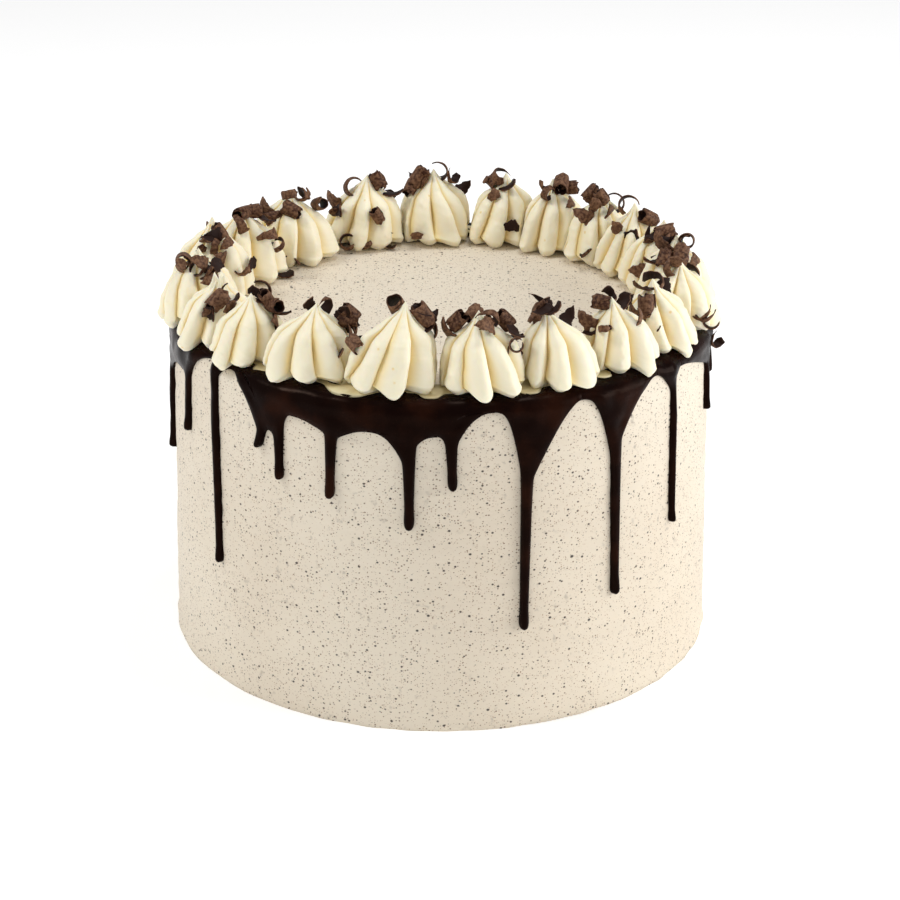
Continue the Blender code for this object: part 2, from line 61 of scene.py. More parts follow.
# 0 below start, 1 above end and 3s^2 - 2s^3 between.
def smoothStep(values, start, end):
    share = np.clip((values - start) / (end - start), 0, 1)
    return share * share * (3 - 2 * share)


# x = radius sin(angle), y = -radius cos(angle): degrees from the front, growing to the right.
def polar(angle, radius, height):
    angle, radius, height = np.broadcast_arrays(np.radians(angle), radius, height)
    return np.stack([radius * np.sin(angle), -radius * np.cos(angle), height], axis=-1)


# Soft relief between about -1 and 1: sines along seeded directions, about this long, added up.
def softNoise(points, length, seed, waves=9):
    draw = np.random.default_rng(seed)
    ways = draw.normal(size=(waves, 3))
    ways /= np.linalg.norm(ways, axis=1, keepdims=True)
    ways *= 2 * np.pi / (length * draw.uniform(0.6, 1.7, (waves, 1)))
    starts = draw.uniform(0, 2 * np.pi, waves)
    return np.sin(points @ ways.T + starts).sum(axis=-1) / np.sqrt(waves)


# Four corners of each cell of a grid, with the last row or column joined to the first if asked.
def gridFaces(rows, columns, closeRows=False, closeColumns=False):
    row = np.arange(rows if closeRows else rows - 1)[:, None]
    column = np.arange(columns if closeColumns else columns - 1)[None, :]
    nextRow, nextColumn = (row + 1) % rows, (column + 1) % columns
    corners = [row * columns + column, row * columns + nextColumn]
    corners += [nextRow * columns + nextColumn, nextRow * columns + column]
    return np.stack(np.broadcast_arrays(*corners), axis=-1).reshape(-1, 4)


# Triangles that close one row of a grid to a pole.
def fanFaces(row, pole):
    return np.stack([row, np.roll(row, -1), np.full(len(row), pole)], axis=-1)


# A grid closed round its columns, and fans that close its first and last row to two poles after its points.
def cappedGrid(rows, columns):
    count = rows * columns
    first, last = np.arange(columns), np.arange(count - columns, count)
    triangles = np.concatenate([fanFaces(first, count), fanFaces(last, count + 1)])
    return gridFaces(rows, columns, closeColumns=True), triangles


noTriangles = np.zeros((0, 3), int)


# One mesh from points, lists of quads and triangles, and named values for each point.
def makePiece(name, points, quads, material, triangles=noTriangles, marks=None):
    mesh = bpy.data.meshes.new(name)
    points = np.asarray(points, dtype=np.float32).reshape(-1, 3)
    corners = np.concatenate([quads.ravel(), triangles.ravel()]).astype(np.int32)
    sizes = np.concatenate([np.full(len(quads), 4), np.full(len(triangles), 3)])
    starts = np.concatenate([[0], np.cumsum(sizes)[:-1]]).astype(np.int32)
    mesh.vertices.add(len(points))
    mesh.vertices.foreach_set("co", points.ravel())
    mesh.loops.add(len(corners))
    mesh.loops.foreach_set("vertex_index", corners)
    mesh.polygons.add(len(sizes))
    mesh.polygons.foreach_set("loop_start", starts)
    mesh.update(calc_edges=True)
    mesh.validate()
    for mark, values in (marks or {}).items():
        layer = mesh.attributes.new(mark, "FLOAT", "POINT")
        layer.data.foreach_set("value", np.asarray(values, dtype=np.float32).ravel())
    mesh.materials.append(material)
    mesh.shade_smooth()
    piece = bpy.data.objects.new(name, mesh)
    bpy.context.scene.collection.objects.link(piece)
    return piece


# Turns the faces of a closed piece outwards, after points nearer than the distance are merged.
def closeUp(piece, distance=0.0):
    work = bmesh.new()
    work.from_mesh(piece.data)
    if distance:
        bmesh.ops.remove_doubles(work, verts=work.verts, dist=distance)
    bmesh.ops.recalc_face_normals(work, faces=work.faces)
    work.to_mesh(piece.data)
    work.free()


# Materials

# A socket that adds a Math node where it is used in an expression.
class Signal:
    def __init__(self, shader, socket):
        self.shader = shader
        self.socket = socket

    def sum(self, operation, *others):
        sockets = {place: value for place, value in enumerate((self, *others))}
        return self.shader.node("ShaderNodeMath", {"operation": operation}, sockets)

    def __add__(self, other):
        return self.sum("ADD", other)

    def __mul__(self, other):
        return self.sum("MULTIPLY", other)

    def __sub__(self, other):
        return self.sum("SUBTRACT", other)

    def __rsub__(self, other):
        return self.shader.node("ShaderNodeMath", {"operation": "SUBTRACT"}, {0: other, 1: self})

    __radd__ = __add__
    __rmul__ = __mul__

    # 0 below low, 1 above high and a soft rise between.
    def rise(self, low, high):
        settings = {"interpolation_type": "SMOOTHSTEP"}
        sockets = {"Value": self, "From Min": low, "From Max": high}
        return self.shader.node("ShaderNodeMapRange", settings, sockets)


# One material and its nodes.
class Shader:
    def __init__(self, name, **constants):
        self.material = bpy.data.materials.new(name)
        self.material.use_nodes = True
        self.tree = self.material.node_tree
        self.surface = self.tree.nodes["Principled BSDF"]
        for socket, value in constants.items():
            self.surface.inputs[socket.replace("_", " ")].default_value = value

    # Adds a node: its settings first, then the value or the link of each socket.
    def node(self, kind, settings=None, sockets=None, output=0):
        made = self.tree.nodes.new(kind)
        for setting, value in (settings or {}).items():
            setattr(made, setting, value)
        for socket, value in (sockets or {}).items():
            if isinstance(value, Signal):
                self.tree.links.new(value.socket, made.inputs[socket])
            else:
                made.inputs[socket].default_value = value
        return Signal(self, made.outputs[output])

    def place(self):
        return self.node("ShaderNodeTexCoord", output="Object")

    def mark(self, name):
        return self.node("ShaderNodeAttribute", {"attribute_name": name}, output="Fac")

    def noise(self, scale, detail, place=None):
        sockets = {"Vector": place or self.place(), "Scale": scale, "Detail": detail}
        return self.node("ShaderNodeTexNoise", None, sockets, "Fac")

    # The distance to the middle of the nearest cell, and two draws from 0 to 1 that belong to that cell.
    def cells(self, place, scale):
        spots = {"Vector": place, "Scale": scale}
        near = self.node("ShaderNodeTexVoronoi", None, spots, "Distance")
        cell = self.node("ShaderNodeTexVoronoi", None, spots, "Color")
        draws = [self.node("ShaderNodeSeparateColor", None, {0: cell}, output) for output in (0, 1)]
        return near, *draws

    def stretched(self, factors):
        sockets = {0: self.place(), 1: factors}
        return self.node("ShaderNodeVectorMath", {"operation": "MULTIPLY"}, sockets)

    def blend(self, share, first, second):
        sockets = {0: share, 6: first, 7: second}
        return self.node("ShaderNodeMix", {"data_type": "RGBA"}, sockets, 2)

    def bump(self, height, distance):
        return self.node("ShaderNodeBump", None, {"Height": height, "Distance": distance})

    def feed(self, socket, signal):
        self.tree.links.new(signal.socket, self.surface.inputs[socket])


# A colour as it looks on screen, 0 to 255, for a socket.
def colour(red, green, blue):
    return (*(((value / 255 + 0.055) / 1.055) ** 2.4 for value in (red, green, blue)), 1.0)


coatLook = {
    "cream": colour(226, 215, 196),
    "shade": colour(218, 205, 185),
    "smudge": colour(120, 108, 98),
    "roughness": 0.62,
    "relief": 0.00018,
}

# Each size of crumb in the coat: cells per metre, share of the cells with a crumb, its radius as a share of the
# cell, how strongly it shows and its colour.
crumbSizes = (
    (1400, 0.42, 0.38, 0.66, colour(144, 98, 58)),
    (900, 0.42, 0.34, 0.80, colour(100, 66, 40)),
    (520, 0.32, 0.30, 0.92, colour(48, 34, 25)),
    (270, 0.20, 0.20, 0.95, colour(32, 24, 19)),
)


# Cream with crumbs in four sizes: round spots in the cells of Voronoi textures, each cell with its own size.
def coatMaterial():
    look = coatLook
    shader = Shader("speckledCream", Roughness=look["roughness"], Subsurface_Weight=0.1, Subsurface_Scale=0.002)
    shader.surface.inputs["Subsurface Radius"].default_value = (1.0, 0.8, 0.6)
    cream = shader.blend(shader.noise(11, 3).rise(0.35, 0.7), look["cream"], look["shade"])
    patches = shader.noise(42, 4)
    smudges = shader.noise(400, 3).rise(0.58, 0.78) * patches.rise(0.38, 0.60)
    cream = shader.blend(smudges * 0.5, cream, look["smudge"])
    for cells, share, size, strength, tone in crumbSizes:
        near, draw, other = shader.cells(shader.stretched((1, 1, 1.2)), cells)
        radius = size * (0.4 + 0.6 * other) * draw.rise(1 - share, 1 - share + 0.02)
        spot = (radius - near).rise(-0.03, 0.07)
        cream = shader.blend(spot * strength, cream, tone)
    relief = shader.noise(300, 3) * 0.5 + shader.noise(60, 3, shader.stretched((1, 1, 7)))
    shader.feed("Base Color", cream)
    shader.feed("Normal", shader.bump(relief, look["relief"]))
    return shader.material


chocolateLook = {"dark": colour(14, 4, 3), "warm": colour(36, 16, 9), "roughness": 0.22}


# Half-gloss set chocolate: nearly even, with faint clouds in its gloss.
def chocolateMaterial():
    look = chocolateLook
    shader = Shader("darkChocolate", IOR=1.45, Specular_IOR_Level=0.05, Specular_Tint=(1.0, 0.6, 0.42, 1.0))
    clouds = shader.noise(70, 3)
    shader.feed("Base Color", shader.blend(clouds.rise(0.4, 0.75), look["dark"], look["warm"]))
    shader.feed("Roughness", look["roughness"] + 0.16 * shader.noise(130, 3).rise(0.35, 0.75))
    shader.feed("Normal", shader.bump(shader.noise(190, 3), 0.00012))
    return shader.material


creamLook = {
    "crest": colour(247, 238, 211),
    # painted shade: the darker, yellower colour of the creases
    "creaseShade": colour(241, 217, 148),
    # painted shade: the still darker yellow of the small pits
    "pitShade": colour(232, 196, 92),
    "roughness": 0.48,
}


# Piped cream: paler on the crests, with painted shade, darker and yellower, in the creases and in a few small
# pits.
def creamMaterial():
    look = creamLook
    shader = Shader("pipedCream", Roughness=look["roughness"], Subsurface_Weight=0.3, Subsurface_Scale=0.003)
    shader.surface.inputs["Subsurface Radius"].default_value = (1.0, 0.75, 0.4)
    near, draw, _ = shader.cells(shader.place(), 190)
    pits = (1 - near.rise(0.06, 0.16)) * draw.rise(0.86, 0.88)
    # painted shade along the creases, darker and yellower
    creaseShade = shader.mark("creaseShade")
    cream = shader.blend(creaseShade.rise(0.2, 1.0) * 0.9, look["crest"], look["creaseShade"])
    # painted shade in the small pits, which are also dented
    cream = shader.blend(pits * 0.6, cream, look["pitShade"])
    shader.feed("Base Color", cream)
    shader.feed("Normal", shader.bump(shader.noise(420, 3) * 0.6 + shader.noise(110, 2) - 0.4 * pits, 0.00016))
    return shader.material


# inside: painted shade, the near-black of the inner face of the roll
curlLook = {"face": colour(134, 99, 74), "dark": colour(60, 32, 20), "inside": colour(38, 18, 11)}


# Shaved chocolate: a dusty streaked outer face, an inner face painted near-black as shade inside the roll, each
# curl a little different.
def curlMaterial():
    look = curlLook
    shader = Shader("shavedChocolate", IOR=1.45, Specular_IOR_Level=0.2)
    streaks = shader.noise(900, 5)
    dusty = (streaks.rise(0.34, 0.70) * 0.75 + shader.mark("draw") * 0.35 - 0.1) * (1 - shader.mark("inner"))
    outside = shader.blend(dusty, look["dark"], look["face"])
    # painted shade on the inner face
    shader.feed("Base Color", shader.blend(shader.mark("inner"), outside, look["inside"]))
    shader.feed("Roughness", 0.42 + 0.3 * streaks)
    shader.feed("Normal", shader.bump(shader.noise(700, 3), 0.00014))
    return shader.material


# The thin edge of cream: duller and yellower than the piped cream, which is painted shade between the feet of
# the dollops, with faint clouds.
def filmMaterial():
    shader = Shader("thinCream", Roughness=0.45)
    clouds = shader.noise(150, 3).rise(0.35, 0.7)
    # painted shade: both colours are the darker yellow of cream in shade
    shader.feed("Base Color", shader.blend(clouds, colour(226, 214, 172), colour(206, 190, 144)))
    return shader.material


materials = {
    "film": filmMaterial(),
    "coat": coatMaterial(),
    "chocolate": chocolateMaterial(),
    "cream": creamMaterial(),
    "curl": curlMaterial(),
}
print("materials made")


# Cake body

cake = {
    "rimRadius": 0.103,
    "fillet": 0.004,
    "columns": 432,
    "sideRows": 96,
    "topRows": 26,
    "waves": 0.00022,
    "waveLengths": (0.09, 0.02),
    "waveShares": (0.6, 0.4),
    "flatTo": 0.006,
    "lip": 0.0007,
    "lipHeight": 0.0022,
    "lipLength": 0.015,
}


# Radius of the side, straight from the foot to the rim.
def sideRadius(height):
    return footRadius + (cake["rimRadius"] - footRadius) * height / cakeTop


# A turned profile (side, quarter round, flat top) with shallow smoothing marks: low and wide waves that run
# round the side, so the relief is noise of (x, y, 5z), and a small uneven lip at the foot.
def makeCake():
    size = cake
    start = cakeTop - size["fillet"]
    side = np.linspace(0, start, size["sideRows"])
    turn = np.radians(np.linspace(0, 90, 9))[1:]
    inner = size["rimRadius"] - size["fillet"]
    radius = np.concatenate([sideRadius(side), inner + size["fillet"] * np.sin(np.pi / 2 - turn)])
    height = np.concatenate([side, start + size["fillet"] * np.sin(turn)])
    out = np.concatenate([np.ones(len(side)), np.cos(turn)])
    flat = inner * (1 - np.linspace(0, 1, size["topRows"] + 1)[1:-1])
    radius = np.concatenate([radius, flat])[:, None]
    height = np.concatenate([height, np.full(len(flat), cakeTop)])[:, None]
    out = np.concatenate([out, np.zeros(len(flat))])[:, None]
    angle = (np.arange(size["columns"]) * 360 / size["columns"])[None, :]
    points = polar(angle, radius, height)
    low = points * np.array([1, 1, 5])
    long, short = (softNoise(low, length, seed) for seed, length in enumerate(size["waveLengths"], 1))
    longShare, shortShare = size["waveShares"]
    relief = size["waves"] * np.tanh(longShare * long + shortShare * short)
    relief = relief * smoothStep(height, 0, size["flatTo"])
    uneven = 0.6 + 0.4 * softNoise(points, size["lipLength"], 3)
    lip = size["lip"] * uneven * (1 - smoothStep(height, 0, size["lipHeight"]))
    shift = relief - size["waves"] + lip
    points = points + polar(angle, shift * out, shift * (1 - out))
    quads, triangles = cappedGrid(*points.shape[:2])
    points = np.concatenate([points.reshape(-1, 3), [[0, 0, 0], [0, 0, cakeTop - size["waves"]]]])
    piece = makePiece("speckledCake", points, quads, materials["coat"], triangles)
    closeUp(piece)
    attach(piece, "root")
    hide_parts("cake")


makeCake()
print("cake made")


# Chocolate drip

drip = {
    "skinGap": 0.00045,
    "thickness": 0.0013,
    "strandThickness": 0.0017,
    "innerRadius": 0.085,
    "bead": 0.0034,
    "fanBead": 0.0038,
    "leastBead": 0.3,
    "swell": 0.00028,
    "swellLength": 0.011,
    "ringRows": 18,
    "ringCrowding": 0.6,
    "hangRows": 84,
    "tipRows": 0.12,
    "across": 22,
    "archSteps": 24,
    "strandSteps": 80,
    "strandFrom": (0.010, 0.024),
    "narrowing": 0.30,
    "bulge": 0.20,
    "bulgePlace": 1.6,
    "bulgeLength": 1.4,
    "flare": 0.2,
    "flareLength": 1.5,
    "tipLength": 1.1,
    "tipSwell": 0.3,
    "peakRound": 0.22,
    "rowBend": 3.0,
    "bendFrom": 0.004,
    "edgeRound": 0.0009,
    "edgeDepth": 0.0003,
    "backDepth": 0.0007,
    "innerFade": 0.004,
    "backCount": 10,
    "backFirst": 93.0,
    "backPitch": 17.5,
    "backShift": (-2.5, 2.5),
    "backTip": (0.026, 0.075),
    "backWidth": (0.0034, 0.0046),
    "backShoulder": (0.012, 0.020),
    "backPeakPlace": (0.4, 0.6),
    "backPeak": (0.003, 0.010),
    "backFall": 1.8,
}

innerTravel = drip["innerRadius"] - (cake["rimRadius"] - cake["fillet"])

# Each drip of the front half: its angle, the depth of its tip, its width, the depth where its left and right
# side meet the band, then the arch up to the next drip: angle and depth of its peak, and how steeply it falls
# to the left and to the right. Last, how many degrees the tip is off the start.
frontDrips = [
    (-84, 0.055, 0.0034, 0.021, 0.021, -68, 0.0115, 1.7, 2, 0),
    (-65, 0.034, 0.0036, 0.013, 0.01, -55, 0.0005, 2.1, 1.5, 0),
    (-53, 0.0785, 0.0036, 0.004, 0.004, -49, 0.0005, 1.5, 1.7, 1.6),
    (-38.2, 0.025, 0.0032, 0.0175, 0.018, -36.4, 0.017, 2, 2, -1),
    (-33.9, 0.035, 0.0036, 0.0185, 0.013, -31, 0.0092, 2, 1.5, 0.2),
    (-22, 0.038, 0.004, 0.013, 0.0145, -14.5, 0.0105, 1.3, 2.1, -0.2),
    (-6, 0.047, 0.0043, 0.021, 0.0145, -0.5, 0.011, 2, 2, 0),
    (2.2, 0.0315, 0.0039, 0.0135, 0.0135, 10.8, 0.0027, 2.1, 2.1, 0.3),
    (17.3, 0.088, 0.0042, 0.025, 0.028, 29, 0.0023, 1.2, 2.1, -0.4),
    (37.5, 0.082, 0.0042, 0.025, 0.02, 49.5, 0.002, 1.6, 1.3, 0.2),
    (55.4, 0.0635, 0.0027, 0.01, 0.006, 58, 0.003, 1.5, 1.1, 0),
    (75.5, 0.0315, 0.0027, 0.012, 0.012, 83, 0.006, 2, 2, 0),
]


# The front drips and then those of the back, which follow a rule.
def allDrips():
    size = drip
    drips = list(frontDrips)
    for number in range(size["backCount"]):
        angle = size["backFirst"] + size["backPitch"] * number + spread(number, 1, *size["backShift"])
        tip = spread(number, 7, *size["backTip"])
        width = spread(number, 3, *size["backWidth"])
        shoulder = spread(number, 4, *size["backShoulder"])
        peakAngle = angle + size["backPitch"] * spread(number, 5, *size["backPeakPlace"])
        peak = spread(number, 6, *size["backPeak"])
        falls = (size["backFall"], size["backFall"])
        drips.append((angle, tip, width, shoulder, shoulder, peakAngle, peak, *falls, 0.0))
    return drips


# Travel along the rim from the start of its round, outwards and down, to a depth below the top.
def travelOf(depth):
    fillet = cake["fillet"]
    onRound = fillet * np.arccos(1 - np.clip(depth / fillet, 0, 1))
    return np.where(depth < fillet, onRound, fillet * np.pi / 2 + depth - fillet)


# Point of the rim at a travel and angle, lifted off its face: flat, then a quarter round, then the side.
def rimPoint(travel, angle, off):
    fillet = cake["fillet"]
    bend = fillet * np.pi / 2
    turn = np.clip(travel, 0, bend) / fillet
    down = np.maximum(travel - bend, 0)
    height = cakeTop - fillet + (fillet + off) * np.cos(turn) - down
    radius = cake["rimRadius"] - fillet + (fillet + off) * np.sin(turn) + np.minimum(travel, 0)
    radius = radius + down * (footRadius - cake["rimRadius"]) / cakeTop
    return polar(angle, radius, height)


# Rounds the corners of a line of points: an average over a bell as wide as reach, with both ends kept. Near
# its end, where the tip is round already, the line stays as it is.
def roundedLine(points, reach):
    steps = np.linalg.norm(np.diff(points, axis=0), axis=1)
    length = np.concatenate([[0], np.cumsum(steps)])
    even = np.linspace(0, length[-1], 400)
    line = np.stack([np.interp(even, length, points[:, 0]), np.interp(even, length, points[:, 1])], axis=-1)
    half = max(int(3 * reach / even[1]), 1)
    bell = np.exp(-0.5 * (np.arange(-half, half + 1) * even[1] / reach) ** 2)[:, None]
    padded = np.concatenate([2 * line[0] - line[half:0:-1], line, 2 * line[-1] - line[-2 : -half - 2 : -1]])
    windows = np.lib.stride_tricks.sliding_window_view(padded, 2 * half + 1, axis=0)
    averaged = (windows * bell[:, 0]).sum(axis=-1) / bell.sum()
    kept = smoothStep(even[-1] - even, 2 * reach, 6 * reach)[:, None]
    return line + (averaged - line) * kept, even


# One drip's patch from the peak of the arch on its left to the peak on its right. Rows run from the ring's
# inner edge down to the tip, and each row goes from the left edge to the right edge: it stays near its higher
# end and falls to the lower end as share^power, so that no row cuts across an arch. The edges
# follow depth = peak + (shoulder - peak) share^fall down to the strand, which narrows a little to a round tip.
def patchOutline(before, this):
    size = drip
    angle, tip, width, left, right, peakAngle, peak, fallLeft, _, sideways = this
    degrees = np.degrees(1 / cake["rimRadius"])
    half = width / 2 * degrees
    share = np.linspace(0, 1, size["hangRows"])
    edges = []
    sides = (
        (before[5], before[6], left, before[8], -1),
        (peakAngle, peak, right, fallLeft, 1),
    )
    for peakAt, top, shoulder, fall, way in sides:
        if peakAt * way < angle * way:
            peakAt = peakAt + 360 * way
        archShare = np.linspace(0, 1, size["archSteps"])
        soft = np.hypot(archShare, size["peakRound"]) - size["peakRound"]
        archAngle = peakAt + (angle + way * half * 1.2 - peakAt) * archShare
        archDepth = top + (shoulder - top) * (soft / soft[-1]) ** fall
        drop = np.linspace(0, 1, size["strandSteps"])[1:]
        depth = shoulder + (tip - shoulder) * drop
        fromTip = (tip - depth) / (width / 2)
        bulge = size["bulge"] * np.exp(-(((fromTip - size["bulgePlace"]) / size["bulgeLength"]) ** 2))
        swell = (1 - size["narrowing"] * drop) * (1 + bulge)
        flare = size["flare"] * np.exp(-(depth - shoulder) / (size["flareLength"] * width))
        rounded = np.sqrt(np.clip(1 - np.clip(1 - fromTip / size["tipLength"], 0, 1) ** 2, 0, 1))
        strand = angle + sideways * drop + way * half * (swell + flare) * rounded
        outline = [
            np.concatenate([archAngle, strand]) / degrees,
            np.concatenate([travelOf(archDepth), travelOf(depth)]),
        ]
        line, even = roundedLine(np.stack(outline, axis=-1), size["edgeRound"])
        # nearly even steps along the edge, much closer together in the round of the tip
        ahead = 1 - share
        wanted = even[-1] * (1 - ahead**2 * (1 + size["tipRows"]) / (ahead + size["tipRows"]))
        edges.append((np.interp(wanted, even, line[:, 0]) * degrees, np.interp(wanted, even, line[:, 1])))
    return edges


# Half-round bead: thickness grows from the free edge as the height of a circle.
def beadShare(distance, bead):
    near = np.clip(distance / bead, 0, 1)
    return np.sqrt(1 - (1 - near) ** 2)


# Angles and travels down one side of a patch: the ring's rows, closer together towards the rim, and the edge.
def patchSide(edge):
    angle, travel = edge
    down = np.linspace(0, 1, drip["ringRows"])[:-1] ** drip["ringCrowding"]
    ring = innerTravel + (travel[0] - innerTravel) * down
    angles = np.concatenate([np.full(len(down), angle[0]), angle])
    return angles[:, None], np.concatenate([ring, travel])[:, None]


# The band, its fans and strands as patches from arch to arch, each with a face and a back that meet.
def makeGanache():
    size = drip
    drips = allDrips()
    outlines = [patchOutline(drips[number - 1], this) for number, this in enumerate(drips)]
    across = 0.5 - 0.5 * np.cos(np.pi * np.linspace(0, 1, size["across"]))
    degrees = np.degrees(1 / cake["rimRadius"])
    allPoints, allQuads, count = [], [], 0
    for number, this in enumerate(drips):
        (startAngle, startTravel), (endAngle, endTravel) = (patchSide(edge) for edge in outlines[number])
        angle = startAngle + (endAngle - startAngle) * across
        uneven = endTravel - startTravel
        aboveTip = travelOf(this[1]) - np.maximum(startTravel, endTravel)
        bend = smoothStep(np.abs(uneven), 0, size["bendFrom"]) * smoothStep(aboveTip, this[2], 3 * this[2])
        power = 1 + size["rowBend"] * bend
        bent = np.where(uneven > 0, across**power, 1 - (1 - across) ** power)
        travel = startTravel + uneven * bent
        # distance of each point to the free edges of this patch and of its neighbours
        free = []
        for near in (number - 1, number, (number + 1) % len(drips)):
            for edgeAngle, edgeTravel in outlines[near]:
                wrapped = (edgeAngle - this[0] + 180) % 360 - 180
                free.append(np.stack([wrapped / degrees, edgeTravel], axis=-1))
        free = np.concatenate(free)
        place = np.stack([(angle - this[0]) / degrees, travel], axis=-1)
        gaps = np.linalg.norm(place[:, :, None, :] - free[None, None], axis=-1).min(axis=-1)
        gaps[size["ringRows"] - 1 :, [0, -1]] = 0
        gaps[-1] = 0
        strand = smoothStep(travel, *size["strandFrom"])
        widest = np.clip(gaps.max(axis=1, keepdims=True), size["leastBead"] * this[2], size["fanBead"])
        middle = np.clip(gaps / widest, 0, 1)
        thick = size["thickness"] * (1 - strand) * beadShare(gaps, size["bead"])
        toTip = (travelOf(this[1]) - travel) / this[2]
        full = size["strandThickness"] * (1 + size["tipSwell"] * np.exp(-((toTip - 0.5) ** 2)))
        thick = thick + full * strand * np.sqrt(1 - (1 - middle) ** 2)
        # soft swells where the chocolate set a little uneven
        swells = size["swell"] * softNoise(rimPoint(travel, angle, 0.0), size["swellLength"], 60)
        thick = thick + np.clip(swells, -0.5 * thick, None) * smoothStep(gaps, 0, size["fanBead"])
        thick = thick * smoothStep(travel, innerTravel, innerTravel + size["innerFade"])
        front = rimPoint(travel, angle, size["skinGap"] + thick)
        back = rimPoint(travel, angle, size["skinGap"] - size["backDepth"])
        edge = (gaps <= 0)[..., None]
        front = np.where(edge, rimPoint(travel, angle, size["skinGap"] - size["edgeDepth"]), front)
        back = np.where(edge, front, back)
        back[0] = front[0]
        rows, columns = angle.shape
        quads = gridFaces(rows, columns)
        allPoints += [front.reshape(-1, 3), back.reshape(-1, 3)]
        allQuads += [quads + count, quads[:, ::-1] + count + rows * columns]
        count += 2 * rows * columns
    points = np.concatenate(allPoints)
    quads = np.concatenate(allQuads)
    piece = makePiece("chocolateDrip", points, quads, materials["chocolate"])
    closeUp(piece, 0.000004)
    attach(piece, "root")
    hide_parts("ganache")


makeGanache()
print("drip made")


# Piped dollops

dollop = {
    "petals": 8,
    "depth": 0.30,
    "power": 0.7,
    "shifts": (-6, 6),
    "reaches": (-0.07, 0.06),
    "tipShare": 0.35,
    "tipLevel": 0.42,
    "fullness": 0.8,
    "tuck": 0.1,
    "tuckFrom": 0.88,
    "twists": (14, 24),
    "leftShare": 0.35,
    "leanPower": 1.5,
    "clamp": 10,
    "gap": 0.0003,
    "rows": 80,
    "petalColumns": 20,
    "footStep": (0.076, 0.088),
    "over": 0.0050,
    "fineDepth": 0.10,
    "risePower": 1.15,
    "fallPower": 0.50,
    "foldLean": 9,
    "creaseShares": (0.55, 1.12),
    "creaseFades": (0.0, 0.75),
    "toeFrom": 0.80,
    "toeLift": 0.0022,
    "toeLifts": 0.0009,
    "toeReach": 0.0014,
    "toeReaches": (-0.6, 1.4),
    "toeRound": 0.10,
    "sink": 0.0003,
    "torn": 17,
    "crown": 0.30,
    "tornReach": 0.0018,
    "tornHeight": 0.0022,
    "tornTip": 0.0016,
}

# The uneven face: how high, how long and the seed that a dollop's number is added to.
dollopRelief = ((0.00030, 0.010, 40), (0.00008, 0.0022, 70))

# Each dollop: its angle, its distance from the middle, the radius and height of its swirl, and how far its
# tip leans along the ring and outwards.
dollops = [
    (9.7, 0.0868, 0.018, 0.0295, -0.0012, -0.001),
    (28, 0.089, 0.0158, 0.029, -0.0045, -0.002),
    (45.8, 0.0895, 0.0157, 0.028, -0.0045, 0),
    (62.5, 0.0905, 0.0157, 0.0265, -0.001, -0.0025),
    (77, 0.091, 0.0162, 0.027, -0.001, 0.001),
    (92, 0.09, 0.0158, 0.028, 0.0015, 0),
    (106, 0.089, 0.0157, 0.028, -0.001, 0.001),
    (119, 0.088, 0.0156, 0.0285, 0.001, 0),
    (133, 0.087, 0.016, 0.0285, -0.0015, 0),
    (148, 0.086, 0.016, 0.029, 0.001, 0.0005),
    (163, 0.086, 0.0162, 0.029, -0.001, 0),
    (182, 0.085, 0.0172, 0.0295, 0.001, 0),
    (202, 0.086, 0.0177, 0.0285, -0.001, -0.0005),
    (226, 0.085, 0.0182, 0.0285, 0.001, 0),
    (245, 0.087, 0.0172, 0.0285, 0.001, 0),
    (262, 0.09, 0.0166, 0.0315, -0.001, 0),
    (279, 0.0925, 0.0165, 0.0285, 0.001, 0.0005),
    (294.8, 0.0915, 0.0162, 0.0265, 0.003, 0),
    (310, 0.0905, 0.0158, 0.0262, 0.001, 0),
    (327.5, 0.0864, 0.0186, 0.0285, 0.0032, 0.0005),
    (349, 0.086, 0.0188, 0.0322, 0.0038, -0.0015),
]


# Height that a foot stands at: on the cake inside, on the chocolate further out. With past set, the feet
# also follow the round of the rim for that far.
def floorHeight(radius, past=0.0):
    low = cakeTop + dollop["gap"]
    high = cakeTop + drip["skinGap"] + drip["thickness"] + dollop["gap"]
    reach = cake["fillet"] + high - cakeTop
    over = np.clip(radius - (cake["rimRadius"] - cake["fillet"]), 0, past)
    return low + (high - low) * smoothStep(radius, *dollop["footStep"]) - reach + np.sqrt(reach**2 - over**2)


# Share of the radius at a level from tip (0) to foot (1): a quarter sine with a drawn tip and a tucked foot.
def dollopProfile(level):
    drawn = dollop["tipShare"] + (1 - dollop["tipShare"]) * smoothStep(level, 0, dollop["tipLevel"])
    tucked = 1 - dollop["tuck"] * smoothStep(level, dollop["tuckFrom"], 1)
    return np.sin(np.pi / 2 * level ** dollop["fullness"]) * drawn * tucked


# Half angles to the borders with the two neighbours.
def dollopWedge(number):
    angle = dollops[number][0]
    before = dollops[number - 1][0]
    after = dollops[(number + 1) % len(dollops)][0]
    return ((angle - before) % 360) / 2, ((after - angle) % 360) / 2


# Degrees that the creases turn from tip to foot, and the sides of the crests at the foot, from petal -1 on.
def dollopSwirl(number):
    twist = spread(number, 7, *dollop["twists"]) * (1 if spread(number, 8) > dollop["leftShare"] else -1)
    petal = np.arange(-1, dollop["petals"] + 2)
    shift = spread(number + petal % dollop["petals"], 18, *dollop["shifts"])
    return twist, spread(number, 9, 0, 360 / dollop["petals"]) + petal * 360 / dollop["petals"] + shift


